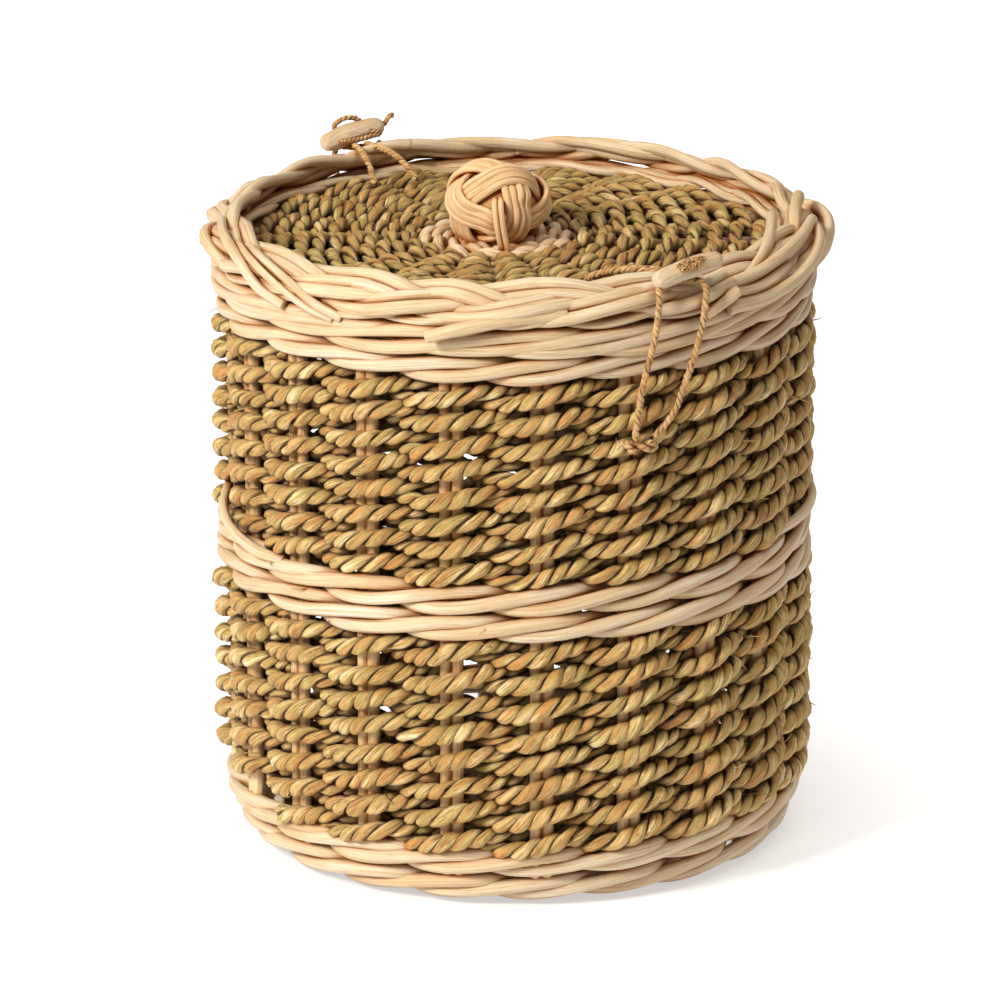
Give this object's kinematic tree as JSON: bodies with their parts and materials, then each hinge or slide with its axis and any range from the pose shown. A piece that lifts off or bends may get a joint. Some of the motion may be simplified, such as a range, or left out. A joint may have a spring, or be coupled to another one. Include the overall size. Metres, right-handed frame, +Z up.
{
  "type": "lidded wicker basket",
  "caption": "Round lidded basket of seagrass rope twined on paired rattan stakes, with rattan bands, a knotted knob and toggle-and-loop fasteners.",
  "frame": {"origin": "on the floor under the centre of the base", "axes": "+Z up, -Y towards the stake that carries the front loop, +X to the right seen from the front"},
  "size_m": [0.229, 0.2358, 0.2526],
  "materials": {
    "rattan_rod": "peeled natural rattan, satin, fine lengthwise ridges",
    "seagrass_rope": "two-ply twisted seagrass rope, matte, green to tan",
    "twisted_string": "two-ply twisted plant-fibre string, matte"
  },
  "bodies": {
    "basket_body": {"foot_wale": "rattan_rod", "foot_lining": "rattan_rod", "lower_weave_outer": "seagrass_rope", "lower_weave_inner": "seagrass_rope", "middle_wale_outer": "rattan_rod", "middle_wale_inner": "rattan_rod", "upper_weave_outer": "seagrass_rope", "upper_weave_inner": "seagrass_rope", "top_wale_outer": "rattan_rod", "top_wale_inner": "rattan_rod", "rim_border": "rattan_rod", "stake_pair_01": "rattan_rod", "stake_pair_02": "rattan_rod", "stake_pair_03": "rattan_rod", "stake_pair_04": "rattan_rod", "stake_pair_05": "rattan_rod", "stake_pair_06": "rattan_rod", "stake_pair_07": "rattan_rod", "stake_pair_08": "rattan_rod", "stake_pair_09": "rattan_rod", "stake_pair_10": "rattan_rod", "stake_pair_11": "rattan_rod", "stake_pair_12": "rattan_rod", "stake_pair_13": "rattan_rod", "stake_pair_14": "rattan_rod", "stake_pair_15": "rattan_rod", "stake_pair_16": "rattan_rod", "stake_pair_17": "rattan_rod", "stake_pair_18": "rattan_rod", "stake_pair_19": "rattan_rod", "stake_pair_20": "rattan_rod", "base_sticks_lower": "rattan_rod", "base_sticks_upper": "rattan_rod", "base_weave_bottom": "seagrass_rope", "base_weave_top": "seagrass_rope", "base_binding_bottom": "rattan_rod", "base_binding_top": "rattan_rod"},
    "lid_body": {"lid_sticks_lower": "rattan_rod", "lid_sticks_upper": "rattan_rod", "lid_weave_bottom": "seagrass_rope", "lid_weave_top": "seagrass_rope", "lid_binding_bottom": "rattan_rod", "lid_binding_top": "rattan_rod", "lid_border": "rattan_rod", "knob": "rattan_rod", "knob_tails": "rattan_rod", "front_tether_a": "twisted_string", "front_tether_b": "twisted_string", "rear_tether_a": "twisted_string", "rear_tether_b": "twisted_string"},
    "front_toggle_body": {"front_toggle": "rattan_rod", "front_toggle_lashing": "twisted_string"},
    "rear_toggle_body": {"rear_toggle": "rattan_rod", "rear_toggle_lashing": "twisted_string"},
    "front_loop_body": {"front_loop": "twisted_string", "front_loop_knot": "twisted_string"},
    "rear_loop_body": {"rear_loop": "twisted_string", "rear_loop_knot": "twisted_string"}
  },
  "joints": [
    {"name": "lid_lift", "type": "slide", "parent": "basket_body", "child": "lid_body", "axis": [0, 0, 1], "range_m": [0, 0.15]},
    {"name": "front_toggle_turn", "type": "hinge", "parent": "lid_body", "child": "front_toggle_body", "pos_m": [0.01849, -0.11046, 0.237], "axis": [0.0618, -0.3695, 0.9272], "range_deg": [-90, 90]},
    {"name": "rear_toggle_turn", "type": "hinge", "parent": "lid_body", "child": "rear_toggle_body", "pos_m": [-0.01849, 0.11046, 0.237], "axis": [-0.0618, 0.3695, 0.9272], "range_deg": [-90, 90]},
    {"name": "front_loop_swing", "type": "hinge", "parent": "basket_body", "child": "front_loop_body", "pos_m": [0, -0.1134, 0.175], "axis": [1, 0, 0], "range_deg": [0, 160]},
    {"name": "rear_loop_swing", "type": "hinge", "parent": "basket_body", "child": "rear_loop_body", "pos_m": [0, 0.1134, 0.175], "axis": [-1, 0, 0], "range_deg": [0, 160]}
  ]
}
